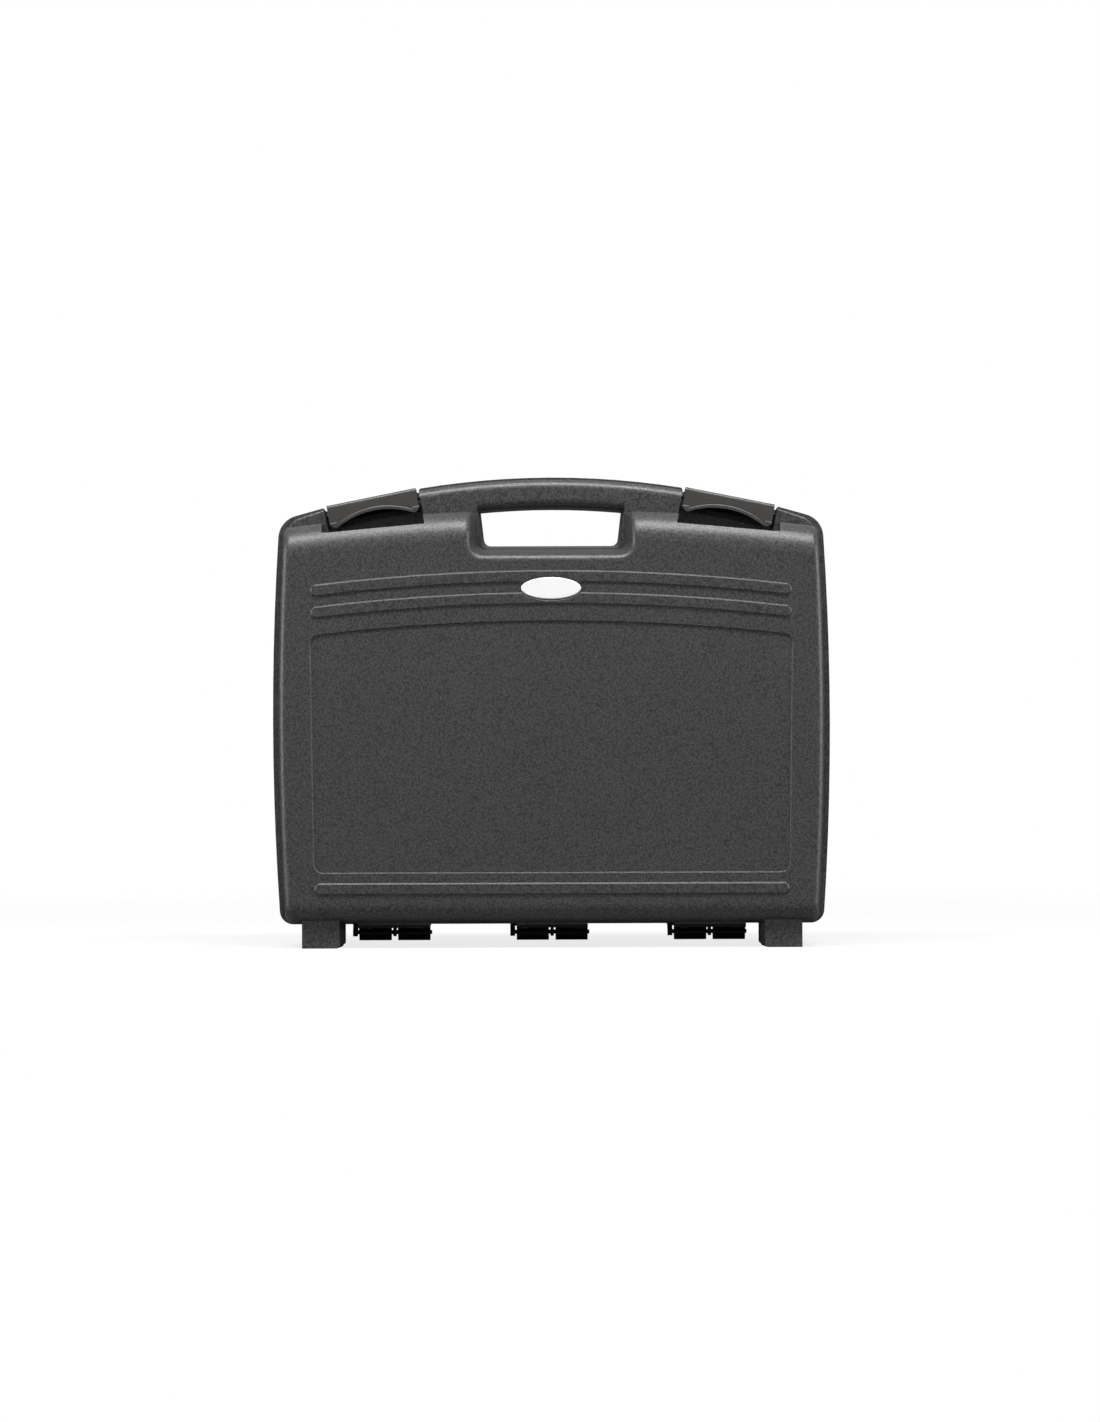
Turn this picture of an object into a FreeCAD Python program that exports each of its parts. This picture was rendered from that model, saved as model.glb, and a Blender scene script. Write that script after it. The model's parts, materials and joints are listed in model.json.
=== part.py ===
import FreeCAD, Part
import os
import re

import Sketcher

# Carrying case in two moulded half shells, hinged along the bottom and latched at the top.
# Frame: X to the right, the front shell toward -Y, Z up, origin on the floor under the parting plane.

SIZES = {
    "Overall": {
        "half_width": 224.6,
        "side_bow": 5.7,
        "shell_floor": 17.7,
        "shell_depth": 56.0,
        "shell_wall": 3.0,
        "draft_angle": 3.2,
        "overrun": 8.0,
        "seat_gap": 0.3,
    },
    "Rim around the parting plane": {
        "rim_depth": 7.0,
        "rim_step": 4.2,
        "floor_step": 2.6,
        "rim_bottom_round": 11.0,
        "rim_top_round": 19.0,
    },
    "Shoulder and face of a shell": {
        "arch_radius": 1620.0,
        "shoulder_level": 350.4,
        "shoulder_round": 27.6,
        "bottom_round": 19.6,
        "side_round": 6.0,
        "top_wall": 10.8,
    },
    "Top deck with the carrying handle": {
        "deck_depth": 18.0,
        "corner_level": 343.4,
        "deck_end_inset": 42.05,
        "deck_end_level": 353.53,
        "handle_level": 377.4,
        "handle_round": 7.5,
        "deck_round": 2.0,
        "deck_corner_round": 16.0,
        "deck_root": 328.0,
        "deck_inset": 1.8,
        "channel_end_wall": 18.7,
        "channel_wall": 6.5,
    },
    "Hand opening": {
        "hand_top_half": 56.4,
        "hand_bottom_half": 53.4,
        "hand_top_level": 351.4,
        "hand_corner_level": 348.7,
        "hand_bottom_level": 322.3,
        "hand_round": 5.5,
        "hand_draft": 8.0,
        "recess_spread": 0.5,
        "recess_draft": 8.0,
        "recess_round": 6.0,
        "grip_round": 6.5,
    },
    "Latch notch": {
        "latch_tilt": 11.3,
        "latch_side_gap": 2.15,
        "notch_inner_level": 339.1,
        "notch_outer_level": 332.1,
        "seat_drop": 17.7,
        "notch_mouth_round": 2.2,
        "notch_end_reach": 5.0,
    },
    "Raised bars and sunk panel": {
        "relief": 1.2,
        "relief_slope": 45.0,
        "bar_inset": 32.7,
        "bottom_bar_inset": 35.3,
        "bar_height": 9.7,
        "upper_bar_level": 296.6,
        "middle_bar_level": 279.1,
        "bottom_bar_level": 47.6,
        "panel_inset": 31.9,
        "panel_level": 261.4,
        "panel_floor": 59.9,
        "panel_round": 8.0,
        "panel_taper": 2.4,
    },
    "Oval badge": {
        "badge_half_width": 23.9,
        "badge_half_height": 8.8,
        "badge_level": 287.0,
        "badge_seat": 0.9,
        "badge_gap": 0.4,
        "badge_round": 1.0,
    },
    "Feet": {
        "foot_inset": 54.6,
        "foot_width": 29.8,
        "foot_back": 20.0,
        "foot_front": 48.0,
        "foot_root": 10.0,
        "foot_corner": 2.5,
        "foot_spread": 2.5,
    },
    "Hinges": {
        "hinge_inset": 43.0,
        "axis_level": 10.9,
        "block_width": 26.0,
        "block_radius": 6.6,
        "slot_width": 1.3,
        "middle_ear": 2.7,
        "outer_ear": 3.9,
        "ear_radius": 3.4,
        "hinge_pin_radius": 1.75,
        "hinge_pin_tail": 1.4,
        "running_gap": 0.06,
        "leaf_thickness": 2.4,
        "leaf_start": 7.2,
        "leaf_reach": 26.0,
        "arm_reach": 14.0,
        "pin_chamfer": 0.5,
    },
    "Hinge rivets": {
        "rivet_spread": 21.0,
        "rivet_place": 18.5,
        "rivet_radius": 1.7,
        "rivet_head_radius": 3.2,
        "rivet_head": 1.1,
    },
    "Latches": {
        "latch_length": 73.0,
        "latch_rise": 0.6,
        "latch_front": 20.6,
        "latch_wall": 2.6,
        "latch_drop": 19.0,
        "latch_arch_margin": 5.5,
        "latch_arch_rise": 7.9,
        "latch_band": 3.0,
        "latch_ledge": 4.7,
        "latch_corner": 3.0,
        "latch_band_step": 1.8,
        "latch_lip_round": 1.2,
        "latch_round": 2.6,
        "latch_end_wall": 2.4,
        "latch_end_drop": 10.0,
        "pivot_back": 11.8,
        "pivot_drop": 7.0,
        "barrel_radius": 6.0,
        "latch_pin_radius": 1.6,
        "latch_pin_seat": 5.0,
    },
}


# Spreadsheet with one named cell for each size
doc = FreeCAD.newDocument("carrying_case")
sheet = doc.addObject("Spreadsheet::Sheet", "Sizes")
row = 1
for group, sizes in SIZES.items():
    sheet.set(f"A{row}", group)
    row += 1
    for alias, value in sizes.items():
        sheet.set(f"A{row}", alias)
        sheet.set(f"B{row}", str(value))
        sheet.setAlias(f"B{row}", alias)
        row += 1
doc.recompute()

FUNCTIONS = ("sqrt", "sin", "cos", "tan", "abs")

# How near two measured places must be to count as the same
TOLERANCE = 0.02

# Rise of a quarter circle over its chord, as a share of its radius
QUARTER_SHARE = 1 - 0.5 ** 0.5

# Width of the panel's sloped border, as a share of its depth
SLOPE_SHARE = 0.8

# Where the recess's own edges lie, as shares of its depth: well in front of the deck, and not its full depth
FRONT_SHARE = 0.25
SHORT_SHARE = 0.8

# Cubic millimetres in a cubic centimetre
CUBIC_CM = 1000

# Places across the case and levels that follow from the sizes
NOTCH_WIDTH = "(latch_length + 2 * latch_side_gap)"
DECK_END = "(half_width - deck_end_inset)"
HANDLE_END = f"({DECK_END} - {NOTCH_WIDTH} * cos(latch_tilt))"
HANDLE_END_LEVEL = f"(deck_end_level + {NOTCH_WIDTH} * sin(latch_tilt))"
BAR_HALF = "(half_width - bar_inset)"
BOTTOM_BAR_HALF = "(half_width - bottom_bar_inset)"
PANEL_HALF = "(half_width - panel_inset)"
FOOT_INNER = "(half_width - foot_inset)"
HINGE_PITCH = f"({FOOT_INNER} - hinge_inset)"
HINGE_HALF = "middle_ear / 2 + slot_width + block_width"
HINGES = {"left": f"-{HINGE_PITCH}", "middle": "0", "right": HINGE_PITCH}
LATCH_MID = f"({DECK_END} + {HANDLE_END}) / 2"
LATCH_LEVEL = f"(deck_end_level + {HANDLE_END_LEVEL}) / 2 + latch_rise"
LATCH_ARCH_HALF = "(latch_length / 2 - latch_arch_margin)"
LATCH_SEAT_DEPTH = "pivot_back + sqrt(barrel_radius^2 + (pivot_drop - latch_wall)^2) + seat_gap"
LATCH_PIN_LENGTH = f"{NOTCH_WIDTH} + 2 * latch_pin_seat"
INNER_FLOOR = "shell_floor + floor_step + shell_wall"
BADGE_BACK = "shell_depth - badge_seat"
RECESS_HALF = "hand_top_half + deck_depth * tan(hand_draft) + recess_spread"
RECESS_LOW = "hand_bottom_level - deck_depth * tan(hand_draft) - recess_spread"
RECESS_FLARE = "(shell_depth - deck_depth) * tan(recess_draft)"
SIDES = {"left": "-", "right": ""}


def bound(text):
    """The text with each size name pointing at its cell."""
    return re.sub(r"[a-z][a-z_]+", lambda word: word[0] if word[0] in FUNCTIONS else "Sizes." + word[0], text)


def value(text):
    """The number that a sum of size names comes to."""
    return float(sheet.evalExpression(bound(text)))


def bind(target, prop, text):
    """Tie a property of a feature to a sum of size names."""
    target.setExpression(prop, bound(text))


def new_body(label):
    body = doc.addObject("PartDesign::Body", label)
    body.Label = label
    return body


def new_sketch(body, name, role="XZ_Plane", lift=None):
    """A sketch on one of the body's origin planes, lifted along the plane's normal."""
    sketch = body.newObject("Sketcher::SketchObject", name)
    plane = [feature for feature in body.Origin.OriginFeatures if feature.Role == role][0]
    sketch.AttachmentSupport = [(plane, "")]
    sketch.MapMode = "FlatFace"
    if lift:
        bind(sketch, "AttachmentOffset.Base.z", lift)
    return sketch


def pin_point(sketch, geometry, end, across, up):
    """Hold one sketch point at two sums of size names, measured from the sketch's origin."""
    for kind, axis, text in (("DistanceX", -2, across), ("DistanceY", -1, up)):
        if text == "0":
            sketch.addConstraint(Sketcher.Constraint("PointOnObject", geometry, end, axis))
            continue
        index = sketch.addConstraint(Sketcher.Constraint(kind, -1, 1, geometry, end, value(text)))
        bind(sketch, f"Constraints[{index}]", text)


ROUND = "round"


def draw_outline(sketch, points, bulges=None):
    """A closed outline through points.

    Bulges give the rise of an arc to the right of an edge, or ROUND for half a circle on an upright edge.
    """
    bulges = bulges or {}
    spots = [FreeCAD.Vector(value(across), value(up), 0) for across, up in points]
    ends = []
    for index, start in enumerate(spots):
        following = (index + 1) % len(spots)
        stop = spots[following]
        if index not in bulges:
            edge = sketch.addGeometry(Part.LineSegment(start, stop))
            ends.append((edge, 1, 2))
            continue
        rise = bulges[index]
        along = stop - start
        height = along.Length / 2 if rise == ROUND else value(rise)
        along.normalize()
        right = FreeCAD.Vector(along.y, -along.x, 0)
        middle = (start + stop) * 0.5 + right * height
        if height > 0:
            edge = sketch.addGeometry(Part.Arc(start, middle, stop))
            ends.append((edge, 1, 2))
        else:
            edge = sketch.addGeometry(Part.Arc(stop, middle, start))
            ends.append((edge, 2, 1))
        (ax, az), (bx, bz) = points[index], points[following]
        if rise == ROUND:
            centre = sketch.addConstraint(Sketcher.Constraint("DistanceX", -1, 1, edge, 3, value(ax)))
            bind(sketch, f"Constraints[{centre}]", ax)
            continue
        size = f"((({bx})-({ax}))^2+(({bz})-({az}))^2)/(8*abs({rise}))+abs({rise})/2"
        hold_radius(sketch, edge, size)
    for index, (edge, first, last) in enumerate(ends):
        after, after_first, after_last = ends[(index + 1) % len(ends)]
        sketch.addConstraint(Sketcher.Constraint("Coincident", edge, last, after, after_first))
        pin_point(sketch, edge, first, *points[index])


def hold_radius(sketch, edge, size):
    index = sketch.addConstraint(Sketcher.Constraint("Radius", edge, value(size)))
    bind(sketch, f"Constraints[{index}]", size)


def draw_circle(sketch, across, up, radius):
    centre = FreeCAD.Vector(value(across), value(up), 0)
    edge = sketch.addGeometry(Part.Circle(centre, FreeCAD.Vector(0, 0, 1), value(radius)))
    pin_point(sketch, edge, 3, across, up)
    hold_radius(sketch, edge, radius)


def extrude(kind, body, sketch, length, reverse, taper=None, both_ways=False):
    """A Pad or a Pocket of a sketch, with an optional draft."""
    feature = body.newObject("PartDesign::" + kind, sketch.Name + "_" + kind.lower())
    feature.Profile = sketch
    bind(feature, "Length", length)
    feature.Reversed = reverse
    feature.Midplane = both_ways
    if taper:
        bind(feature, "TaperAngle", taper)
    doc.recompute()
    return feature


def round_edges(body, name, radius, wanted):
    """Fillet every edge of the body so far that the wanted test picks."""
    base = body.Tip
    names = [f"Edge{n}" for n, edge in enumerate(base.Shape.Edges, 1) if wanted(edge)]
    feature = body.newObject("PartDesign::Fillet", name)
    feature.Base = (base, names)
    bind(feature, "Radius", radius)
    doc.recompute()
    return feature


def near(number, target):
    return abs(number - target) < TOLERANCE


# Half shells


def arch(level, across):
    """Height on the common arch, at a place across the case, of a line that is at level in the middle."""
    return f"{level} - arch_radius + sqrt(arch_radius^2 - ({across})^2)"


def arch_rise(half):
    """How far the common arch rises over a chord of that half length."""
    return f"arch_radius - sqrt(arch_radius^2 - ({half})^2)"


def make_pan(label, front, depth, side_inset, top_inset, bottom_inset):
    """The deep tray of a shell: arched top with a broad roll, bowed sides with draft."""
    body = new_body(label)
    face = value(depth) * (-1 if front else 1)
    wide = "half_width + overrun"
    top = f"shoulder_level - {top_inset}"
    low = f"shell_floor + {bottom_inset}"
    block = new_sketch(body, label + "_block")
    corner = arch(top, wide)
    draw_outline(
        block,
        [(f"-({wide})", low), (wide, low), (wide, corner), (f"-({wide})", corner)],
        {2: arch_rise(wide)},
    )
    extrude("Pad", body, block, depth, not front)
    round_edges(body, label + "_shoulder", f"shoulder_round - {side_inset}",
                lambda edge: near(edge.CenterOfMass.y, face) and near(edge.BoundBox.ZMax, value(top)))
    round_edges(body, label + "_roll", f"bottom_round - {side_inset}",
                lambda edge: near(edge.CenterOfMass.y, face) and near(edge.CenterOfMass.z, value(low)))
    sides = new_sketch(body, label + "_sides")
    edge_x = f"half_width - side_bow - {side_inset}"
    below = f"{low} - overrun"
    above = f"{top} + overrun"
    outside = "half_width + 2 * overrun"
    draw_outline(sides, [(edge_x, above), (edge_x, below), (outside, below), (outside, above)],
                 {0: "-side_bow"})
    draw_outline(sides, [(f"-({edge_x})", below), (f"-({edge_x})", above),
                         (f"-({outside})", above), (f"-({outside})", below)],
                 {0: "-side_bow"})
    extrude("Pocket", body, sides, f"{depth} + overrun", front, "draft_angle")
    round_edges(body, label + "_edges", f"side_round - {side_inset} + rim_step",
                lambda edge: edge.BoundBox.XLength < value("half_width") and not near(edge.CenterOfMass.y, 0))
    return body


def mirrored(points):
    """The same outline on the other side of the middle, turning the same way round."""
    return [(f"-({across})", up) for across, up in reversed(points)]


def wall_foot(top_across, top_level, level):
    """Place across, at a level, of a notch wall that stands square to the tilted latch."""
    return f"{top_across} - ({top_level} - ({level})) * tan(latch_tilt)"


def add_relief(body, label, front):
    """Raised arched bars, a straight bottom bar and a sunk panel on the outer face."""
    lift = "shell_depth" if front else "-(shell_depth)"
    bars = new_sketch(body, label + "_bars", lift=lift)
    half = f"{BAR_HALF} - bar_height / 2"
    for level in ("upper_bar_level", "middle_bar_level"):
        end = arch(level, half)
        low = f"{end} - bar_height / 2"
        high = f"{end} + bar_height / 2"
        rise = arch_rise(half)
        draw_outline(
            bars,
            [(f"-({half})", low), (half, low), (half, high), (f"-({half})", high)],
            {0: f"-({rise})", 1: ROUND, 2: rise, 3: ROUND},
        )
    half = f"{BOTTOM_BAR_HALF} - bar_height / 2"
    low = "bottom_bar_level - bar_height / 2"
    high = "bottom_bar_level + bar_height / 2"
    draw_outline(
        bars,
        [(f"-({half})", low), (half, low), (half, high), (f"-({half})", high)],
        {1: ROUND, 3: ROUND},
    )
    extrude("Pad", body, bars, "relief", not front, "-relief_slope")
    mouth = new_sketch(body, label + "_panel_mouth", lift=lift)
    draw_outline(mouth, *panel_outline("0"))
    sunk = "shell_depth - relief" if front else "-(shell_depth - relief)"
    floor = new_sketch(body, label + "_panel_floor", lift=sunk)
    draw_outline(floor, *panel_outline(f"relief * {SLOPE_SHARE}"))
    panel = body.newObject("PartDesign::SubtractiveLoft", label + "_panel")
    panel.Profile = mouth
    panel.Sections = [floor]
    panel.Ruled = True
    doc.recompute()


def panel_outline(inset):
    """The sunk panel's outline, drawn in by an inset: narrower below, with rounded corners under the arch."""
    half = f"{PANEL_HALF} - {inset}"
    low = f"panel_floor + {inset}"
    corner = f"panel_round - {inset}"
    inner = f"{PANEL_HALF} - panel_round"
    low_half = f"{half} - panel_taper"
    low_inner = f"{inner} - panel_taper"
    top = f"{arch('panel_level', inner)} - {inset}"
    quarter = f"({corner}) * {QUARTER_SHARE}"
    points = [(f"-({low_inner})", low), (low_inner, low),
              (low_half, f"{low} + {corner}"), (half, f"{top} - ({corner})"),
              (inner, top), (f"-({inner})", top),
              (f"-({half})", f"{top} - ({corner})"), (f"-({low_half})", f"{low} + {corner}")]
    return points, {1: quarter, 3: quarter, 4: arch_rise(inner), 5: quarter, 7: quarter}


def hand_outline(half, low, high, corner):
    """An upright opening with rounded lower corners, open at the top."""
    quarter = f"({corner}) * {QUARTER_SHARE}"
    inner = f"{half} - ({corner})"
    points = [(f"-({inner})", low), (inner, low), (half, f"{low} + {corner}"), (half, high),
              (f"-({half})", high), (f"-({half})", f"{low} + {corner}")]
    return points, {1: quarter, 5: quarter}


def add_recess(body, label, front):
    """The flared recess in the tray below and beside the carrying handle."""
    sketch = new_sketch(body, label + "_recess", lift="deck_depth" if front else "-(deck_depth)")
    points, bulges = hand_outline(RECESS_HALF, RECESS_LOW, "shoulder_level + overrun", "hand_round")
    draw_outline(sketch, points, bulges)
    extrude("Pocket", body, sketch, "shell_depth - deck_depth + overrun", front, "recess_draft")
    reach = value(f"{RECESS_HALF} + {RECESS_FLARE}")
    deck = value("deck_depth")
    depth = value("shell_depth - deck_depth")
    round_edges(body, label + "_recess_edge", "recess_round",
                lambda edge: abs(edge.CenterOfMass.x) < reach and edge.BoundBox.XLength < 2 * reach
                and abs(edge.CenterOfMass.y) > deck + depth * FRONT_SHARE
                and edge.BoundBox.YLength < depth * SHORT_SHARE)


def make_frame(label, front):
    """The rim round the parting plane, and the deck blocks that form the handle and the top corners."""
    body = new_body(label)
    side = "half_width - side_bow"
    rim = new_sketch(body, label + "_rim")
    right = [(side, "shell_floor"), (side, "corner_level"), (DECK_END, "deck_end_level"),
             (HANDLE_END, HANDLE_END_LEVEL)]
    draw_outline(rim, right + mirrored(right),
                 {0: "side_bow", 3: f"handle_level - {HANDLE_END_LEVEL}", 6: "side_bow"})
    extrude("Pad", body, rim, "rim_depth", not front)
    corners = (("low", "shell_floor", "rim_bottom_round"), ("high", "corner_level", "rim_top_round"))
    for name, level, size in corners:
        round_edges(body, f"{label}_{name}_corners", size,
                    lambda edge: near(abs(edge.CenterOfMass.x), value(side))
                    and near(edge.CenterOfMass.z, value(level)) and near(edge.BoundBox.ZLength, 0))
    deck = new_sketch(body, label + "_deck")
    handle_foot = wall_foot(HANDLE_END, HANDLE_END_LEVEL, "deck_root")
    handle_end = f"{HANDLE_END_LEVEL} - deck_inset"
    handle = [(handle_foot, "deck_root"), (HANDLE_END, handle_end)]
    draw_outline(deck, handle + mirrored(handle), {1: f"handle_level - {HANDLE_END_LEVEL}"})
    corner_side = f"{side} - rim_step - deck_inset"
    corner = [(wall_foot(DECK_END, "deck_end_level", "deck_root"), "deck_root"),
              (corner_side, "deck_root"), (corner_side, "corner_level - deck_inset"),
              (DECK_END, "deck_end_level - deck_inset")]
    draw_outline(deck, corner)
    draw_outline(deck, mirrored(corner))
    extrude("Pad", body, deck, "deck_depth", not front)
    face = value("deck_depth") * (-1 if front else 1)
    round_edges(body, label + "_deck_corners", "deck_corner_round",
                lambda edge: near(abs(edge.CenterOfMass.x), value(corner_side))
                and near(edge.CenterOfMass.z, value("corner_level - deck_inset")))
    round_edges(body, label + "_grip_top", "handle_round",
                lambda edge: near(edge.CenterOfMass.y, face)
                and edge.BoundBox.ZMin > value(handle_end) - TOLERANCE)
    round_edges(body, label + "_deck_edges", "deck_round",
                lambda edge: near(edge.CenterOfMass.y, face) and edge.CenterOfMass.z > value("corner_level")
                and value(DECK_END) < abs(edge.CenterOfMass.x) < value(side))
    hand = new_sketch(body, label + "_hand")
    draw_hand(hand)
    extrude("Pocket", body, hand, "deck_depth", front, "hand_draft")
    top = value("hand_top_level + deck_depth * tan(hand_draft)")
    round_edges(body, label + "_grip_under", "grip_round",
                lambda edge: near(edge.CenterOfMass.y, face)
                and edge.BoundBox.XLength > value("hand_top_half")
                and abs(edge.BoundBox.ZMax - top) < value("grip_round"))
    channel = new_sketch(body, label + "_channel")
    low = "hand_top_level + channel_wall"
    high = "handle_level - channel_wall"
    half = f"({HANDLE_END} - channel_end_wall)"
    drop = f"(handle_level - {HANDLE_END_LEVEL}) * ({half} / {HANDLE_END})^2"
    ends = [(half, f"{low} - {drop}"), (half, f"{high} - {drop}")]
    draw_outline(channel, ends + mirrored(ends), {1: drop, 3: f"-({drop})"})
    extrude("Pocket", body, channel, "deck_depth - channel_wall", front)
    return body


def combine(kind, name, shapes):
    """A boolean of document objects: MultiFuse, or Cut of the first by the second."""
    feature = doc.addObject("Part::" + kind, name)
    if kind == "Cut":
        feature.Base, feature.Tool = shapes
    else:
        feature.Shapes = shapes
    feature.Refine = False
    doc.recompute()
    return feature


def draw_hand(sketch):
    """The hand opening at the parting plane, under the arch of the grip."""
    points = [("hand_bottom_half", "hand_bottom_level"), ("hand_top_half", "hand_corner_level")]
    draw_outline(sketch, points + mirrored(points), {1: "hand_top_level - hand_corner_level"})


def make_hand_cut(label, front):
    """The drafted hand opening through the deck."""
    body = new_body(label)
    sketch = new_sketch(body, label + "_outline")
    draw_hand(sketch)
    extrude("Pad", body, sketch, "deck_depth", not front, "hand_draft")
    round_edges(body, label + "_corners", "hand_round",
                lambda edge: edge.BoundBox.ZMax < value("hand_corner_level")
                and edge.BoundBox.YLength > value("deck_depth") / 2)
    return body


def make_jacket(label, front):
    """The space that the recess and its wall take out of the cavity."""
    body = new_body(label)
    sketch = new_sketch(body, label + "_outline")
    half = f"{RECESS_HALF} + {RECESS_FLARE} + shell_wall"
    low = f"{RECESS_LOW} - {RECESS_FLARE} - shell_wall"
    draw_outline(sketch, *hand_outline(half, low, "shoulder_level + overrun", "hand_round + shell_wall"))
    extrude("Pad", body, sketch, "shell_depth", not front)
    return body


def make_notch(label, front):
    """The two latch notches with rounded mouths: right through the lid's deck, and a seat in the base's."""
    body = new_body(label)
    sketch = new_sketch(body, label + "_outline")
    over = "handle_level + overrun"
    inner = "notch_inner_level" if front else f"{HANDLE_END_LEVEL} - seat_drop * cos(latch_tilt)"
    outer = "notch_outer_level" if front else "deck_end_level - seat_drop * cos(latch_tilt)"
    outer_brow = "deck_end_level - notch_mouth_round"
    inner_brow = f"{HANDLE_END_LEVEL} - notch_mouth_round"
    outer_side = f"{DECK_END} + notch_mouth_round"
    inner_side = f"{HANDLE_END} - notch_mouth_round"
    right = [(wall_foot(HANDLE_END, HANDLE_END_LEVEL, inner), inner),
             (wall_foot(DECK_END, "deck_end_level", outer), outer),
             (wall_foot(DECK_END, "deck_end_level", outer_brow), outer_brow),
             (outer_side, "deck_end_level"), (outer_side, over), (inner_side, over),
             (inner_side, f"{HANDLE_END_LEVEL} + notch_mouth_round * tan(latch_tilt)"),
             (wall_foot(HANDLE_END, HANDLE_END_LEVEL, inner_brow), inner_brow)]
    rounding = f"-(notch_mouth_round * {QUARTER_SHARE})"
    draw_outline(sketch, right, {2: rounding, 6: rounding})
    pads = [extrude("Pad", body, sketch, "shell_depth + overrun" if front else LATCH_SEAT_DEPTH, not front)]
    if front:
        end = new_sketch(body, label + "_end", lift="deck_depth")
        wall = wall_foot(DECK_END, "deck_end_level", outer)
        draw_outline(end, [(wall, outer), (f"{wall} + notch_end_reach", outer),
                           (f"{wall} + notch_end_reach", over), (wall, over)])
        pads.append(extrude("Pad", body, end, "shell_depth + overrun - deck_depth", False))
    mirror = body.newObject("PartDesign::Mirrored", label + "_mirror")
    mirror.Originals = pads
    plane = [feature for feature in body.Origin.OriginFeatures if feature.Role == "YZ_Plane"][0]
    mirror.MirrorPlane = (plane, [""])
    body.Tip = mirror
    doc.recompute()
    return body


def make_latch_wall(label, sign):
    """The wall that closes the base's deck behind a latch."""
    body = new_body(label)
    sketch = new_sketch(body, label + "_outline")
    right = [(wall_foot(HANDLE_END, HANDLE_END_LEVEL, "deck_root"), "deck_root"),
             (wall_foot(DECK_END, "deck_end_level", "deck_root"), "deck_root"),
             (DECK_END, "deck_end_level - deck_inset"), (HANDLE_END, f"{HANDLE_END_LEVEL} - deck_inset")]
    draw_outline(sketch, mirrored(right) if sign else right)
    extrude("Pad", body, sketch, f"{LATCH_SEAT_DEPTH} + shell_wall", True)
    back = value(f"{LATCH_SEAT_DEPTH} + shell_wall")
    round_edges(body, label + "_edges", "deck_round",
                lambda edge: near(edge.CenterOfMass.y, back) and edge.BoundBox.ZMin > value("deck_root"))
    return body


def make_foot(label, front, right):
    """One foot under a shell, set back from the parting plane and narrower toward the face."""
    body = new_body(label)
    sketch = new_sketch(body, label + "_plan", "XY_Plane")
    sign = "-" if front else ""
    outline = [(f"{FOOT_INNER} - foot_spread", f"{sign}foot_back"), (FOOT_INNER, f"{sign}foot_front"),
               (f"{FOOT_INNER} + foot_width", f"{sign}foot_front"),
               (f"{FOOT_INNER} + foot_width", f"{sign}foot_back")]
    draw_outline(sketch, outline if right else mirrored(outline))
    extrude("Pad", body, sketch, "shell_floor + foot_root", False)
    round_edges(body, label + "_corner", "foot_corner",
                lambda edge: near(edge.BoundBox.ZMax, 0)
                and near(abs(edge.CenterOfMass.x), value(f"{FOOT_INNER} - foot_spread / 2")))
    return body


def new_box(name, lengths, corner):
    """A plain box from three lengths and the place of its low corner."""
    box = doc.addObject("Part::Box", name)
    for prop, text in zip(("Length", "Width", "Height"), lengths):
        bind(box, prop, text)
    for axis, text in zip("xyz", corner):
        bind(box, f"Placement.Base.{axis}", text)
    return box


def new_rod(name, radius, length, base):
    """An upright cylinder from its base point."""
    rod = doc.addObject("Part::Cylinder", name)
    bind(rod, "Radius", radius)
    bind(rod, "Height", length)
    for axis, text in zip("xyz", base):
        bind(rod, f"Placement.Base.{axis}", text)
    return rod


def seat_corner(place, front):
    """Low corner of the pad on the shell's floor that a hinge leaf is riveted to."""
    near_end = "-leaf_reach" if front else "rim_depth"
    return (f"{place} - ({HINGE_HALF})", near_end, "shell_floor")


def rivet_spots(place, front):
    """Places of a leaf's two rivets, across and along the case."""
    along = "-rivet_place" if front else "rivet_place"
    return [(f"{place} - rivet_spread", along), (f"{place} + rivet_spread", along)]


def make_shell(label, front):
    """One half shell: tray, rim, deck and feet in one moulding, hollowed from the parting plane."""
    tray = make_pan(label + "_tray", front, "shell_depth", "rim_step", "0", "floor_step")
    add_recess(tray, label, front)
    add_relief(tray, label, front)
    frame = make_frame(label + "_frame", front)
    solid = [tray, frame]
    solid += [make_foot(f"{label}_{name}_foot", front, name == "right") for name in ("left", "right")]
    for name, place in HINGES.items():
        solid.append(new_box(f"{label}_{name}_seat",
                             (f"2 * ({HINGE_HALF})", "leaf_reach - rim_depth", "floor_step + shell_wall / 2"),
                             seat_corner(place, front)))
    if not front:
        solid += [make_latch_wall(f"latch_wall_{side}", sign) for side, sign in SIDES.items()]
    whole = combine("MultiFuse", label + "_whole", solid)
    cavity = make_pan(label + "_cavity", front, "shell_depth - shell_wall", "(rim_step + shell_wall)",
                      "top_wall", "(floor_step + shell_wall)")
    hollow = combine("Cut", label + "_hollow", [cavity, make_jacket(label + "_jacket", front)])
    tools = [hollow, make_hand_cut(label + "_hand", front), make_notch(label + "_notch", front)]
    for name, place in HINGES.items():
        for count, (across, along) in enumerate(rivet_spots(place, front), 1):
            tools.append(new_rod(f"{label}_{name}_rivet_hole_{count}", "rivet_radius",
                                 "floor_step + shell_wall + 2 * overrun",
                                 (across, along, "shell_floor - overrun")))
    return whole, tools


# Latches


def place_on_tilt(item, sign):
    """Move a piece drawn level to the middle of a notch's mouth, tilted with it."""
    axis = FreeCAD.Vector(0, -1 if sign else 1, 0)
    item.Placement = FreeCAD.Placement(FreeCAD.Vector(), FreeCAD.Rotation(axis, value("latch_tilt")))
    bind(item, "Placement.Rotation.Angle", "latch_tilt")
    bind(item, "Placement.Base.x", f"{sign}({LATCH_MID})")
    bind(item, "Placement.Base.z", LATCH_LEVEL)
    doc.recompute()


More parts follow.
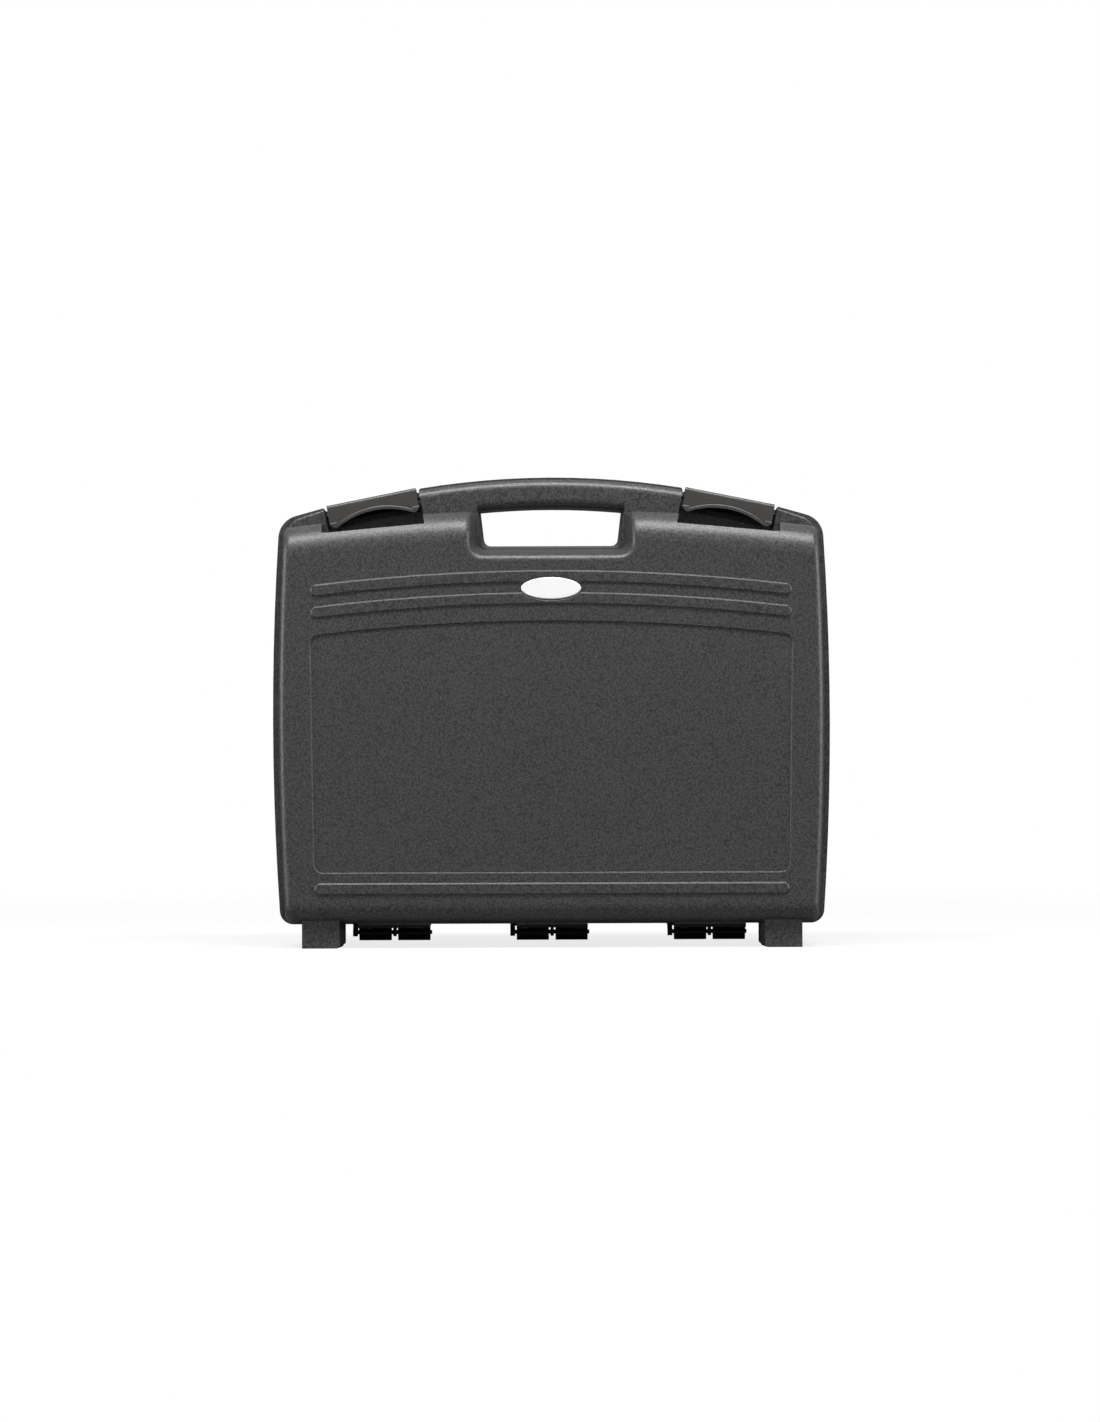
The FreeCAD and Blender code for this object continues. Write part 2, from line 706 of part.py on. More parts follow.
def make_latch(label, sign):
    """A lever with a cover plate, a front wall arched over the finger gap and a barrel on its pin."""
    body = new_body(label)
    half = "latch_length / 2"
    plate = new_sketch(body, label + "_plate", "YZ_Plane", f"-({half})")
    inside = "-(latch_front - latch_wall)"
    draw_outline(plate, [("-latch_front", "-latch_drop"), (inside, "-latch_drop"), (inside, "-latch_wall"),
                         ("pivot_back", "-latch_wall"), ("pivot_back", "0"), ("-latch_front", "0")])
    extrude("Pad", body, plate, "latch_length", False)
    round_edges(body, label + "_brow", "latch_round",
                lambda edge: near(edge.CenterOfMass.y, value("-latch_front"))
                and near(edge.CenterOfMass.z, 0))
    for name, start in (("inner", f"-({half})"), ("outer", f"{half} - latch_end_wall")):
        wall = new_sketch(body, f"{label}_{name}_wall", "YZ_Plane", start)
        draw_outline(wall, [(inside, "-latch_end_drop"), ("pivot_back", "-pivot_drop"),
                            ("pivot_back", "-latch_wall"), (inside, "-latch_wall")])
        extrude("Pad", body, wall, "latch_end_wall", False)
    barrel = new_sketch(body, label + "_barrel", "YZ_Plane", f"-({half})")
    draw_circle(barrel, "pivot_back", "-pivot_drop", "barrel_radius")
    extrude("Pad", body, barrel, "latch_length", False)
    web = new_sketch(body, label + "_web", "YZ_Plane", f"-({half})")
    draw_outline(web, [("pivot_back - barrel_radius", "-pivot_drop"),
                       ("pivot_back + barrel_radius", "-pivot_drop"),
                       ("pivot_back + barrel_radius", "-latch_wall"), ("pivot_back", "0"),
                       ("pivot_back - barrel_radius", "0")])
    extrude("Pad", body, web, "latch_length", False)
    bore = new_sketch(body, label + "_bore", "YZ_Plane", f"-({half})")
    draw_circle(bore, "pivot_back", "-pivot_drop", "latch_pin_radius + running_gap")
    extrude("Pocket", body, bore, "latch_length", True)
    gap = new_sketch(body, label + "_gap")
    under = "latch_drop + overrun"
    foot = [(LATCH_ARCH_HALF, f"-({under})"), (LATCH_ARCH_HALF, "-latch_drop")]
    draw_outline(gap, foot + mirrored(foot), {1: "latch_arch_rise"})
    extrude("Pocket", body, gap, "latch_front + overrun", True)
    lip_face = value("-(latch_front + latch_band_step)")
    band = new_sketch(body, label + "_band", lift="latch_front")
    spring = "-latch_drop + latch_band"
    draw_outline(band, [(f"-{LATCH_ARCH_HALF}", "-latch_drop"), (LATCH_ARCH_HALF, "-latch_drop"),
                        (LATCH_ARCH_HALF, spring), (f"-{LATCH_ARCH_HALF}", spring)],
                 {0: "-latch_arch_rise", 2: "latch_arch_rise"})
    extrude("Pad", body, band, "latch_band_step", False)
    round_edges(body, label + "_lip", "latch_lip_round",
                lambda edge: near(edge.CenterOfMass.y, lip_face) and near(edge.BoundBox.ZMin, value(spring))
                and edge.BoundBox.XLength > value(LATCH_ARCH_HALF))
    blocks = new_sketch(body, label + "_blocks", lift="latch_front")
    ledge = "-latch_drop + latch_ledge"
    block = [(LATCH_ARCH_HALF, "-latch_drop"), (half, "-latch_drop"), (half, ledge), (LATCH_ARCH_HALF, ledge)]
    draw_outline(blocks, block)
    draw_outline(blocks, mirrored(block))
    extrude("Pad", body, blocks, "latch_band_step", False)
    round_edges(body, label + "_ledges", "latch_lip_round",
                lambda edge: near(edge.CenterOfMass.y, lip_face) and near(edge.BoundBox.ZMin, value(ledge)))
    corners = new_sketch(body, label + "_corners")
    cut = [(f"{half} - latch_corner - overrun", f"-({under})"), (f"{half} + overrun", f"-({under})"),
           (f"{half} + overrun", "-latch_drop + latch_corner + overrun")]
    draw_outline(corners, cut)
    draw_outline(corners, mirrored(cut))
    extrude("Pocket", body, corners, "latch_front + overrun", True)
    place_on_tilt(body, sign)
    return body


def make_tilted_rod(label, sign, radius, length):
    """A rod along a latch's pivot axis, centred on the notch."""
    body = new_body(label)
    section = new_sketch(body, label + "_section", "YZ_Plane")
    draw_circle(section, "pivot_back", "-pivot_drop", radius)
    extrude("Pad", body, section, length, False, both_ways=True)
    place_on_tilt(body, sign)
    return body


# Hinges


def make_front_leaf(label, place):
    """The lid's hinge leaf: a riveted plate with two broad blocks that turn on the pin."""
    body = new_body(label)
    add_plate(body, label, True)
    first = "-(middle_ear / 2 + slot_width + block_width)"
    second = "middle_ear / 2 + slot_width"
    for name, start in (("first", first), ("second", second)):
        add_knuckle(body, f"{label}_{name}", start, "block_width", "block_radius", True)
    add_bores(body, label, "hinge_pin_radius + running_gap", True)
    bind(body, "Placement.Base.x", place)
    return body


def make_rear_leaf(label, place):
    """The base's hinge leaf: a riveted plate with a middle ear and an outer ear that hold the pin."""
    body = new_body(label)
    add_plate(body, label, False)
    add_knuckle(body, label + "_middle", "-(middle_ear / 2)", "middle_ear", "ear_radius", False)
    outer = f"-({HINGE_HALF} + slot_width + outer_ear)"
    add_knuckle(body, label + "_outer", outer, "outer_ear", "ear_radius", False)
    add_bores(body, label, "hinge_pin_radius", False)
    bind(body, "Placement.Base.x", place)
    return body


def add_plate(body, label, front):
    """The flat plate of a leaf under the shell's floor."""
    sign = "-" if front else ""
    start = f"-({HINGE_HALF})" if front else f"-({HINGE_HALF} + slot_width + outer_ear)"
    length = f"2 * ({HINGE_HALF})" if front else f"2 * ({HINGE_HALF}) + slot_width + outer_ear"
    low = "shell_floor - leaf_thickness"
    sketch = new_sketch(body, label + "_plate", "YZ_Plane", start)
    draw_outline(sketch, [(f"{sign}leaf_start", low), (f"{sign}leaf_reach", low),
                          (f"{sign}leaf_reach", "shell_floor"), (f"{sign}leaf_start", "shell_floor")])
    extrude("Pad", body, sketch, length, False)


def add_knuckle(body, label, start, width, radius, front):
    """A knuckle round the pin and the arm that carries it from the plate."""
    sign = "-" if front else ""
    arm = new_sketch(body, label + "_arm", "YZ_Plane", start)
    draw_outline(arm, [(f"{sign}seat_gap", "axis_level"), (f"{sign}({radius})", "axis_level"),
                       (f"{sign}arm_reach", "shell_floor - leaf_thickness"),
                       (f"{sign}arm_reach", "shell_floor"),
                       (f"{sign}seat_gap", "shell_floor")])
    extrude("Pad", body, arm, width, False)
    round_part = new_sketch(body, label + "_round", "YZ_Plane", start)
    draw_circle(round_part, "0", "axis_level", radius)
    extrude("Pad", body, round_part, width, False)


def add_bores(body, label, radius, front):
    """The pin's bore through the knuckles, and the rivet holes through the plate."""
    reach = f"{HINGE_HALF} + slot_width + outer_ear"
    bore = new_sketch(body, label + "_bore", "YZ_Plane", f"-({reach})")
    draw_circle(bore, "0", "axis_level", radius)
    extrude("Pocket", body, bore, f"2 * ({reach})", True)
    holes = new_sketch(body, label + "_holes", "XY_Plane", "shell_floor")
    for across, along in rivet_spots("0", front):
        draw_circle(holes, across, along, "rivet_radius")
    extrude("Pocket", body, holes, "leaf_thickness", False)


def make_hinge_pin(label, place):
    """A round pin from the outer ear to just past the second block."""
    body = new_body(label)
    start = f"-({HINGE_HALF} + slot_width + outer_ear)"
    section = new_sketch(body, label + "_section", "YZ_Plane", start)
    draw_circle(section, "0", "axis_level", "hinge_pin_radius")
    extrude("Pad", body, section, f"2 * ({HINGE_HALF}) + slot_width + outer_ear + hinge_pin_tail", False)
    base = body.Tip
    ends = [f"Edge{n}" for n, edge in enumerate(base.Shape.Edges, 1) if near(edge.BoundBox.XLength, 0)]
    chamfer = body.newObject("PartDesign::Chamfer", label + "_ends")
    chamfer.Base = (base, ends)
    bind(chamfer, "Size", "pin_chamfer")
    bind(body, "Placement.Base.x", place)
    doc.recompute()
    return body


def make_rivets(label, front):
    """All the rivets of one shell's hinge leaves, each with a head below and a collar inside."""
    rivets = []
    under = "shell_floor - leaf_thickness"
    for name, place in HINGES.items():
        for count, (across, along) in enumerate(rivet_spots(place, front), 1):
            stem = f"{label}_{name}_{count}"
            head = new_rod(stem + "_head", "rivet_head_radius", "rivet_head",
                           (across, along, f"{under} - rivet_head"))
            shank = new_rod(stem + "_shank", "rivet_radius", f"{INNER_FLOOR} - ({under})",
                            (across, along, under))
            collar = new_rod(stem + "_collar", "rivet_head_radius", "rivet_head",
                             (across, along, INNER_FLOOR))
            rivets.append(combine("MultiFuse", stem, [head, shank, collar]))
    group = doc.addObject("Part::Compound", label)
    group.Links = rivets
    doc.recompute()
    return group


# Badge


def make_oval_outline(label, depth, spread=""):
    """The badge's outline, or one wider by a spread, at a depth in front of the parting plane."""
    oval = doc.addObject("Part::Ellipse", label)
    bind(oval, "MajorRadius", f"badge_half_width {spread}")
    bind(oval, "MinorRadius", f"badge_half_height {spread}")
    oval.Placement = FreeCAD.Placement(FreeCAD.Vector(), FreeCAD.Rotation(FreeCAD.Vector(1, 0, 0), 90))
    bind(oval, "Placement.Base.y", f"-({depth})")
    bind(oval, "Placement.Base.z", "badge_level")
    return oval


def make_oval(label, thickness, spread=""):
    """An upright oval plate whose back lies on the floor of the badge's seat."""
    plate = doc.addObject("Part::Extrusion", label)
    plate.Base = make_oval_outline(label + "_outline", BADGE_BACK, spread)
    plate.DirMode = "Custom"
    plate.Dir = FreeCAD.Vector(0, -1, 0)
    bind(plate, "LengthFwd", thickness)
    plate.Solid = True
    doc.recompute()
    return plate


def make_badge():
    """The bare oval badge, flush with the raised bars, with a rounded front edge."""
    blank = make_oval("badge_blank", "badge_seat + relief")
    front = -value(f"{BADGE_BACK} + badge_seat + relief")
    picked = [n for n, edge in enumerate(blank.Shape.Edges, 1) if near(edge.CenterOfMass.y, front)]
    badge = doc.addObject("Part::Fillet", "badge")
    badge.Base = blank
    badge.Edges = [(n, value("badge_round"), value("badge_round")) for n in picked]
    doc.recompute()
    return badge


def make_badge_seat():
    """The cutters of the badge's seat: a pocket wider than the badge, and the bars' sloped edge over it."""
    rise = "relief + overrun"
    pocket = make_oval("badge_pocket", f"badge_seat + {rise}", "+ badge_gap")
    slope = doc.addObject("Part::Loft", "badge_slope")
    slope.Sections = [
        make_oval_outline("badge_slope_foot", "shell_depth", "+ badge_gap"),
        make_oval_outline("badge_slope_mouth", f"shell_depth + {rise}", f"+ badge_gap + {rise}"),
    ]
    slope.Solid = True
    slope.Ruled = True
    doc.recompute()
    return [pocket, slope]


# Every sub-part, under the name of its file

pieces = {}

lid_blank, lid_tools = make_shell("front", True)
lid_tools += make_badge_seat()
lid_cuts = combine("MultiFuse", "front_cuts", lid_tools)
pieces["front_shell"] = combine("Cut", "front_shell", [lid_blank, lid_cuts])

base_blank, base_tools = make_shell("rear", False)
for side, sign in SIDES.items():
    base_tools.append(make_tilted_rod(f"pin_hole_{side}", sign, "latch_pin_radius", LATCH_PIN_LENGTH))
base_cuts = combine("MultiFuse", "rear_cuts", base_tools)
pieces["rear_shell"] = combine("Cut", "rear_shell", [base_blank, base_cuts])

pieces["badge"] = make_badge()
for side, sign in SIDES.items():
    pieces[f"latch_{side}"] = make_latch(f"latch_{side}", sign)
    pieces[f"latch_pin_{side}"] = make_tilted_rod(f"latch_pin_{side}", sign, "latch_pin_radius",
                                                  LATCH_PIN_LENGTH)
for side, place in HINGES.items():
    pieces[f"front_leaf_{side}"] = make_front_leaf(f"front_leaf_{side}", place)
    pieces[f"rear_leaf_{side}"] = make_rear_leaf(f"rear_leaf_{side}", place)
    pieces[f"hinge_pin_{side}"] = make_hinge_pin(f"hinge_pin_{side}", place)
pieces["front_hinge_rivets"] = make_rivets("front_hinge_rivets", True)
pieces["rear_hinge_rivets"] = make_rivets("rear_hinge_rivets", False)
doc.recompute()

# Check every object before anything is written
for item in doc.Objects:
    if "Invalid" in item.State or "Error" in item.State:
        raise RuntimeError(f"{item.Label}: {item.getStatusString()}")
for name, piece in pieces.items():
    if piece.Shape.isNull() or not piece.Shape.isValid() or not piece.Shape.Solids:
        raise RuntimeError(f"{name}: no valid solid")

os.makedirs("parts", exist_ok=True)
for name, piece in pieces.items():
    piece.Shape.exportStep(f"parts/{name}.step")
    print(f"{name}: {len(piece.Shape.Solids)} solid(s), {piece.Shape.Volume / CUBIC_CM:.1f} cm3")
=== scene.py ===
# %% [markdown]
# The carrying case stands closed on a pale floor, seen straight from the front. Its pieces come ready made
# from the construction model, in metres and in place, so this lesson is about finishes, light and camera.
# The first cell loads those pieces.

import json
import math

import bpy
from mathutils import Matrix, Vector

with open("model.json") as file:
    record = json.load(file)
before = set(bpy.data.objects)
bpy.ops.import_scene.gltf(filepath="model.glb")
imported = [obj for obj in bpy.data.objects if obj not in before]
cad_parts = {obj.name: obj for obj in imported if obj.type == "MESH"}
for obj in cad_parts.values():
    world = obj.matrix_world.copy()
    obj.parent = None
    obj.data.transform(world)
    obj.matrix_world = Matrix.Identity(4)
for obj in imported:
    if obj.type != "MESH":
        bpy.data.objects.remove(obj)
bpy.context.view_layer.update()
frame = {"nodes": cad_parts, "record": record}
nodes = frame["nodes"]

# %% [markdown]
# A finish is a graph of shader nodes. Wiring nodes by hand hides the idea, so one small class stands for an
# output socket, and ordinary arithmetic on it adds Math nodes. Every other node comes from its one method,
# which sets a node's options first and then fills or links its sockets.


# %% A socket that can be used in sums
class Wire:
    """One output socket in a finish's graph."""

    def __init__(self, tree, socket):
        self.tree = tree
        self.socket = socket

    @staticmethod
    def make(tree, kind, settings=None, inputs=None, output=0):
        """Any node: its type, its options, its sockets by name or number, and which output is wanted."""
        node = tree.nodes.new("ShaderNode" + kind)
        for name, setting in (settings or {}).items():
            if name == "stops":
                for stop, (place, grey) in zip(node.color_ramp.elements, setting):
                    stop.position = place
                    stop.color = (grey, grey, grey, 1)
            else:
                setattr(node, name, setting)
        for name, given in (inputs or {}).items():
            if isinstance(given, Wire):
                tree.links.new(given.socket, node.inputs[name])
            else:
                node.inputs[name].default_value = given
        return Wire(tree, node.outputs[output])

    def sum(self, operation, first, second):
        return Wire.make(self.tree, "Math", {"operation": operation}, {0: first, 1: second})

    def __add__(self, other):
        return self.sum("ADD", self, other)

    def __radd__(self, other):
        return self.sum("ADD", other, self)

    def __sub__(self, other):
        return self.sum("SUBTRACT", self, other)

    def __rsub__(self, other):
        return self.sum("SUBTRACT", other, self)

    def __mul__(self, other):
        return self.sum("MULTIPLY", self, other)

    def __rmul__(self, other):
        return self.sum("MULTIPLY", other, self)


print("sums on sockets ready")

# %% [markdown]
# A few helpers keep the finishes short. A tint goes from one colour to another by a value, through a Mix node,
# because a Math node would turn a colour grey. A noise gives the soft unevenness that every real surface has.

# %% Helpers for the finishes
COLOUR_A, COLOUR_B, COLOUR_OUT = 6, 7, 2


def tint(shade, first, second):
    """A colour between two, chosen by a value from 0 to 1."""
    return Wire.make(shade.tree, "Mix", {"data_type": "RGBA"},
                     {0: shade, COLOUR_A: (*first, 1), COLOUR_B: (*second, 1)}, output=COLOUR_OUT)


def noise(place, scale, detail, roughness=0.5):
    return Wire.make(place.tree, "TexNoise", {},
                     {"Vector": place, "Scale": scale, "Detail": detail, "Roughness": roughness})


def start_finish(name, constants):
    """A fresh material's shader with its constants, and the place of each point in metres."""
    finish = bpy.data.materials.new(name)
    finish.use_nodes = True
    tree = finish.node_tree
    shader = tree.nodes["Principled BSDF"]
    for socket, constant in constants.items():
        shader.inputs[socket].default_value = constant
    place = Wire.make(tree, "TexCoord", output="Object")
    return finish, shader, place


def feed(shader, socket, wire):
    wire.tree.links.new(wire.socket, shader.inputs[socket])


def bump(height, strength, depth):
    return Wire.make(height.tree, "Bump", {}, {"Height": height, "Strength": strength, "Distance": depth})


print("helpers ready")

# %% [markdown]
# The shells are moulded from dark grey polypropylene. The mould was etched, so the surface is covered in
# shallow rounded grains about a millimetre apart. Close up they shade as tiny hills, and from far away they
# show as a fine mottle with a few bright specks. A noise makes the hills and a cell pattern makes them pebbly.
# The same height also paints the colour, lighter on the tops and darker in the hollows. That is painted
# highlight and painted shade, standing in for the shading and the bright specks of the grains. A slow cloud
# varies the gloss, as uneven cooling does.

# %% Grained grey plastic of the shells
GRAIN_SCALE, PEBBLE_SCALE, CLOUD_SCALE = 820.0, 560.0, 9.0
GRAIN_DEPTH = 0.00022
GRAIN_SHARE, PEBBLE_SHARE = 0.65, 0.35
# Painted shade for the grain hollows and painted highlight for the grain tops
PAINTED_HOLLOW_SHADE_GREY, PAINTED_TOP_HIGHLIGHT_GREY = (0.009, 0.009, 0.0093), (0.062, 0.062, 0.064)
SHELL_ROUGHNESS = 0.37


def grained_plastic():
    finish, shader, place = start_finish("grained_plastic", {"Specular IOR Level": 0.62})
    grain = noise(place, GRAIN_SCALE, 2.0, roughness=0.6)
    pebble = Wire.make(place.tree, "TexVoronoi", {"feature": "SMOOTH_F1"},
                       {"Vector": place, "Scale": PEBBLE_SCALE, "Smoothness": 0.6}, output="Distance")
    cloud = noise(place, CLOUD_SCALE, 3.0)
    height = grain * GRAIN_SHARE + (1.0 - pebble) * PEBBLE_SHARE
    # Painted shade and highlight: the grain height darkens the colour in the hollows and lightens it on the tops
    painted_grain_shading = Wire.make(place.tree, "ValToRGB", {"stops": [(0.40, 0.0), (0.64, 1.0)]}, {"Fac": height})
    feed(shader, "Base Color", tint(painted_grain_shading * 0.9 + cloud * 0.1, PAINTED_HOLLOW_SHADE_GREY, PAINTED_TOP_HIGHLIGHT_GREY))
    feed(shader, "Roughness", SHELL_ROUGHNESS + cloud * 0.05 + (1.0 - grain) * 0.10)
    feed(shader, "Normal", bump(height, 0.55, GRAIN_DEPTH))
    print("grains", 1000 / GRAIN_SCALE, "mm apart,", GRAIN_DEPTH * 1000, "mm deep")
    return finish


shell_finish = grained_plastic()

# %% [markdown]
# The latches are separate mouldings, smooth and satin, and a little warmer than the shells. Handling leaves
# them faintly uneven, which shows in the gloss more than in the colour, so one cloud drives both.

# %% Satin plastic of the latches
LATCH_DARK, LATCH_LIGHT = (0.034, 0.032, 0.031), (0.046, 0.044, 0.042)
LATCH_ROUGHNESS = 0.30


def satin_plastic():
    finish, shader, place = start_finish("satin_plastic", {"Specular IOR Level": 0.5})
    cloud = noise(place, 60.0, 4.0)
    fine = noise(place, 1900.0, 1.0)
    feed(shader, "Base Color", tint(cloud, LATCH_DARK, LATCH_LIGHT))
    feed(shader, "Roughness", LATCH_ROUGHNESS + cloud * 0.12)
    feed(shader, "Normal", bump(fine, 0.18, 0.00004))
    return finish


latch_finish = satin_plastic()
print("made", latch_finish.name)

# %% [markdown]
# Hinges, hinge pins and rivets are black. The parts are small and mostly in shade, so a low specular level
# keeps them as dark as they look, and a fine noise breaks up their gloss.

# %% Black plastic of the hinges
HINGE_DARK, HINGE_LIGHT = (0.002, 0.002, 0.002), (0.005, 0.005, 0.005)
HINGE_ROUGHNESS = 0.32


def black_plastic():
    finish, shader, place = start_finish("black_plastic", {"Specular IOR Level": 0.2})
    fine = noise(place, 1400.0, 2.0)
    cloud = noise(place, 120.0, 3.0)
    feed(shader, "Base Color", tint(cloud, HINGE_DARK, HINGE_LIGHT))
    feed(shader, "Roughness", HINGE_ROUGHNESS + cloud * 0.14)
    feed(shader, "Normal", bump(fine, 0.25, 0.00005))
    return finish


hinge_finish = black_plastic()
print("made", hinge_finish.name)

# %% [markdown]
# The latch pins are wire, drawn and then blackened: dark metal, with fine lines along their length that blur
# the reflections. A noise that is stretched along the pin draws those lines.

# %% Blackened steel of the latch pins
ALONG, ACROSS = 40.0, 2600.0
STEEL_DARK, STEEL_LIGHT = (0.030, 0.030, 0.032), (0.055, 0.055, 0.057)
STEEL_ROUGHNESS = 0.32


def blackened_steel():
    finish, shader, place = start_finish("blackened_steel", {"Metallic": 1.0})
    drawn = Wire.make(place.tree, "Mapping", {}, {"Vector": place, "Scale": (ALONG, ACROSS, ACROSS)})
    lines = noise(drawn, 1.0, 3.0)
    feed(shader, "Base Color", tint(lines, STEEL_DARK, STEEL_LIGHT))
    feed(shader, "Roughness", STEEL_ROUGHNESS + lines * 0.18)
    return finish


pin_finish = blackened_steel()
print("made", pin_finish.name)

# %% [markdown]
# The oval on the front is bare white gloss plastic under a clear coat, with the faint unevenness of a
# moulded part. Its white stays under full white, so that its rounded edge still shows.

# %% White gloss of the oval
WHITE_DIM, WHITE_FULL = (0.82, 0.82, 0.815), (0.85, 0.85, 0.845)
OVAL_ROUGHNESS = 0.20


def white_gloss():
    finish, shader, place = start_finish("white_gloss", {"Coat Weight": 0.4, "Coat Roughness": 0.06})
    cloud = noise(place, 90.0, 3.0)
    feed(shader, "Base Color", tint(cloud, WHITE_DIM, WHITE_FULL))
    feed(shader, "Roughness", OVAL_ROUGHNESS + cloud * 0.08)
    return finish


oval_finish = white_gloss()
print("made", oval_finish.name)

# %% [markdown]
# The record of the part names a material slot for every piece, so the finishes go on by that name. The pieces
# themselves stay as they came: only what fills their slots changes.

# %% Give every piece its finish
FINISHES = {
    "shell": shell_finish,
    "latch": latch_finish,
    "hinge": hinge_finish,
    "hinge_pin": hinge_finish,
    "rivet": hinge_finish,
    "pin": pin_finish,
    "badge": oval_finish,
}
slots = {row["node"]: row["material_slot"] for row in frame["record"]["subparts"]}
for name, piece in nodes.items():
    for slot in piece.material_slots:
        slot.material = FINISHES[slots[name]]
print("finishes:", {name: slots[name] for name in nodes})

# %% [markdown]
# The floor is pale and catches a soft shadow round the feet. Further out it melts into the white of the
# background, so that no horizon shows, as in a studio with a paper sweep. It is one large flat face, and it
# isn't part of the case.

# %% Floor
FLOOR_REACH = 14.0
mesh = bpy.data.meshes.new("floor")
mesh.from_pydata([(-FLOOR_REACH, -FLOOR_REACH, 0), (FLOOR_REACH, -FLOOR_REACH, 0),
                  (FLOOR_REACH, FLOOR_REACH, 0), (-FLOOR_REACH, FLOOR_REACH, 0)], [], [(0, 1, 2, 3)])
floor = bpy.data.objects.new("floor", mesh)
bpy.context.scene.collection.objects.link(floor)
print("floor reaches", FLOOR_REACH, "m")

# %% [markdown]
# Paper and background have to look white without lighting the case. Light Path tells the camera's rays from
# the others, and a place or a direction can be eased from 0 to 1 along an axis. Both are plain masks.


# %% Masks for rays and directions
def rays(tree):
    """Two masks: rays from the camera, and rays from the camera, a reflection or glass."""
    camera = Wire.make(tree, "LightPath", output="Is Camera Ray")
    glossy = Wire.make(tree, "LightPath", output="Is Glossy Ray")
    through = Wire.make(tree, "LightPath", output="Is Transmission Ray")
    seen = Wire.make(tree, "Math", {"operation": "ADD", "use_clamp": True}, {0: camera + glossy, 1: through})
    return camera, seen


def ease(number, first, last):
    """From 0 to 1 while a value goes from the first limit to the last."""
    return Wire.make(number.tree, "MapRange", {"interpolation_type": "SMOOTHSTEP"},
                     {"Value": number, "From Min": first, "From Max": last})


def part_along(way, axis):
    return Wire.make(way.tree, "SeparateXYZ", {}, {0: way}, output=axis)


print("masks ready")

# %% [markdown]
# The paper is matte near the case, where the shadow falls, and glows white further out, but only for the camera.
# Reflections find it faintly pale, and only behind the case. The light that it throws back up stays low.

# %% Paper of the floor
NEAR_LIFT = 0.80
LOW_SHARE = 0.05
BOUNCE_GREY, PAPER_GREY = (0.20, 0.20, 0.20), (0.80, 0.80, 0.80)
paper = bpy.data.materials.new("paper_floor")
paper.use_nodes = True
tree = paper.node_tree
tree.nodes.remove(tree.nodes["Principled BSDF"])
camera_ray, seen = rays(tree)
spot = Wire.make(tree, "TexCoord", output="Object")
reach = Wire.make(tree, "VectorMath", {"operation": "LENGTH"}, {0: spot}, output="Value")
far = ease(reach, 0.35, 1.3)
behind = ease(part_along(spot, "Y"), 0.3, 1.5)
matte = Wire.make(tree, "BsdfDiffuse", {}, {"Color": tint(camera_ray, BOUNCE_GREY, PAPER_GREY)})
glow = Wire.make(tree, "Emission", {}, {"Color": (1, 1, 1, 1), "Strength": 1.0})
in_view = camera_ray * (far + (1.0 - far) * NEAR_LIFT)
in_reflection = (seen - camera_ray) * far * behind * LOW_SHARE
lifted = Wire.make(tree, "MixShader", {}, {0: in_view + in_reflection, 1: matte, 2: glow})
tree.links.new(lifted.socket, tree.nodes["Material Output"].inputs["Surface"])
mesh.materials.append(paper)
print("made", paper.name)

# %% [markdown]
# Behind everything the world is white to the eye. Reflections find it pale only high up behind the case, where
# a studio's white sweep would be, and dark toward the front and low down, so that the walls of the hand opening
# stay dark. The light that the world sheds is only a weak grey.

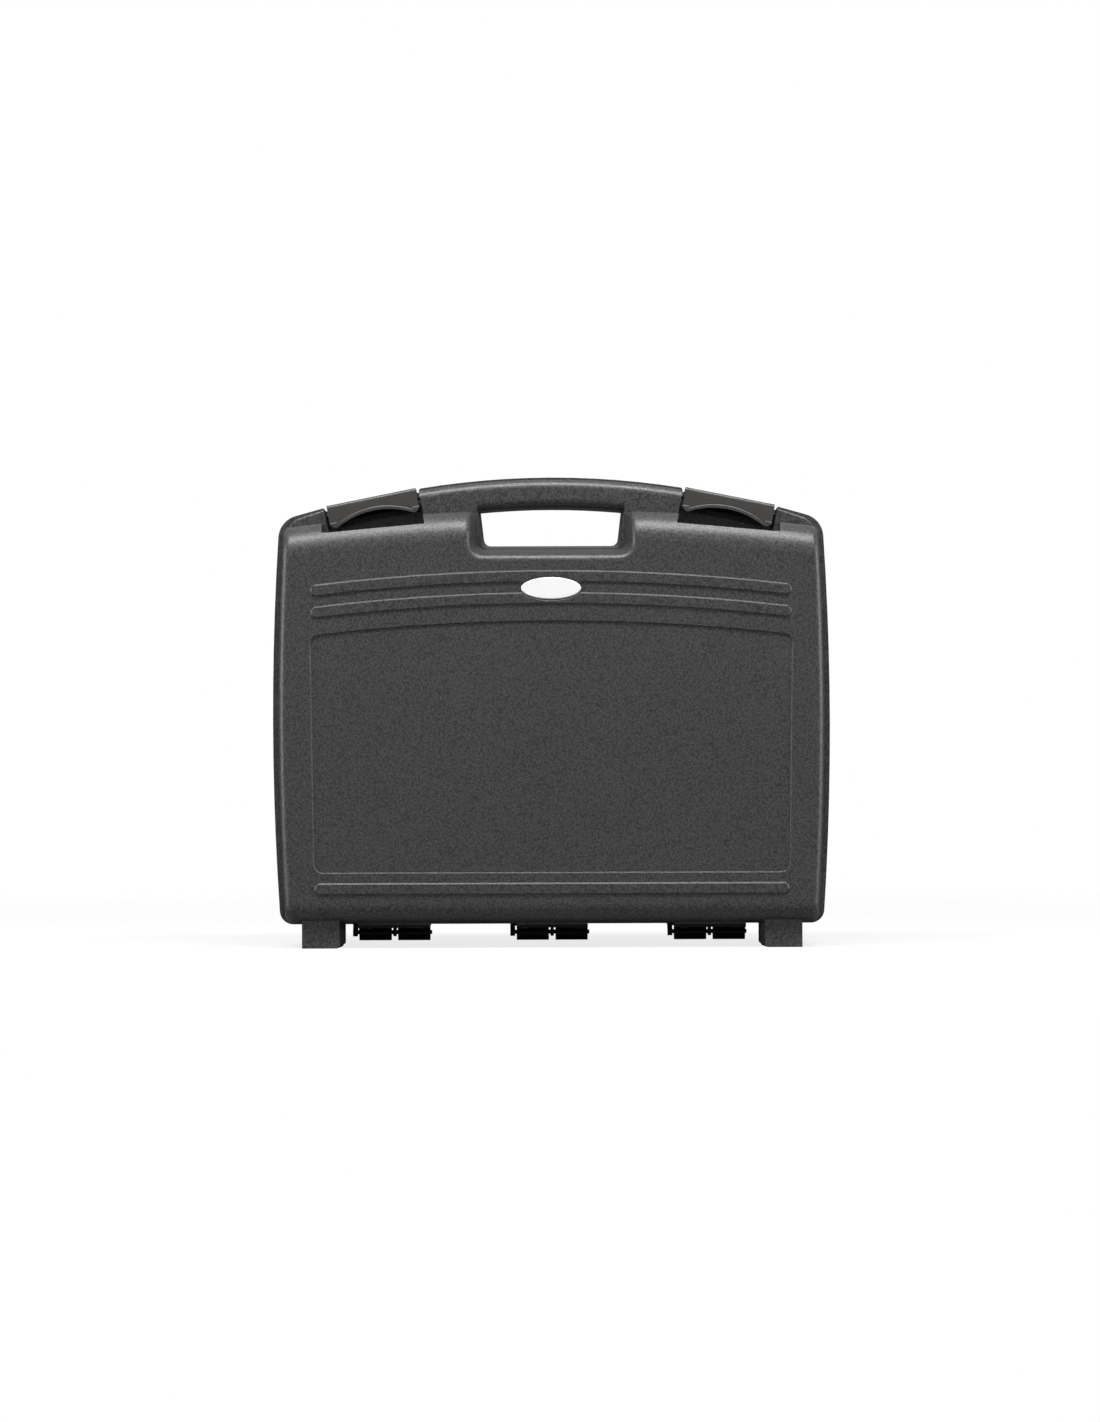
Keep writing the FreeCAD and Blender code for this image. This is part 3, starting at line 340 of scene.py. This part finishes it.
# %% World
HIGH_SHARE = 0.55
SHED_LIGHT = 0.08
world = bpy.data.worlds.new("studio")
bpy.context.scene.world = world
world.use_nodes = True
tree = world.node_tree
camera_ray, seen = rays(tree)
way = Wire.make(tree, "TexCoord", output="Generated")
behind = ease(part_along(way, "Y"), -0.1, 0.6)
high = ease(part_along(way, "Z"), 0.25, 0.6)
white = camera_ray + (seen - camera_ray) * behind * (LOW_SHARE + high * HIGH_SHARE)
shed = Wire.make(tree, "MapRange", {}, {"Value": white, "To Min": SHED_LIGHT, "To Max": 1.0})
tree.links.new(shed.socket, tree.nodes["Background"].inputs["Strength"])
tree.nodes["Background"].inputs["Color"].default_value = (1, 1, 1, 1)
print("made", world.name)

# %% [markdown]
# The real light comes from lamps, all of them broad, because a grained surface under a small lamp would glitter.
# A long soft box high in front draws the bright line along the shoulder and the grip. One on each side draws a
# line down each flank, and a broad weak one from the front fills the face.


# %% Lamps
def soft_box(name, place, aim, width, height, watts):
    light = bpy.data.lights.new(name, "AREA")
    light.shape = "RECTANGLE"
    light.size = width
    light.size_y = height
    light.energy = watts
    lamp = bpy.data.objects.new(name, light)
    lamp.location = place
    heading = Vector(aim) - Vector(place)
    lamp.rotation_euler = heading.to_track_quat("-Z", "Y").to_euler()
    bpy.context.scene.collection.objects.link(lamp)


soft_box("overhead", place=(0.0, -0.66, 1.75), aim=(0.0, -0.03, 0.33), width=1.9, height=0.34, watts=53.0)
soft_box("front_fill", place=(0.0, -3.2, 0.9), aim=(0.0, 0.0, 0.2), width=2.6, height=1.6, watts=7.0)
for side in (-1, 1):
    soft_box("side", place=(side * 1.40, -0.40, 0.40), aim=(0.0, 0.0, 0.2), width=0.8, height=0.9, watts=12.5)

# %% [markdown]
# The photograph was taken from straight ahead and far away, so its lines hardly converge. A long lens four
# metres off gives that view. The frame is 1149 mm tall at the case, and the picture is rolled by a fifth of a
# degree. The Standard view transform shows colours as they are written.

# %% Camera
CAMERA_DISTANCE = 4.0
CAMERA_ACROSS, CAMERA_LEVEL = -0.00115, 0.1891
CAMERA_ROLL = math.radians(0.2)
FRAME_HEIGHT = 1.149
SENSOR = 36.0
lens = bpy.data.cameras.new("front_view")
lens.sensor_width = SENSOR
lens.lens = SENSOR * CAMERA_DISTANCE / FRAME_HEIGHT
camera = bpy.data.objects.new("front_view", lens)
camera.location = (CAMERA_ACROSS, -CAMERA_DISTANCE, CAMERA_LEVEL)
camera.rotation_euler = (math.radians(90), CAMERA_ROLL, 0)
bpy.context.scene.collection.objects.link(camera)
bpy.context.scene.camera = camera
bpy.context.scene.view_settings.view_transform = "Standard"
print("lens:", round(lens.lens, 1), "mm")
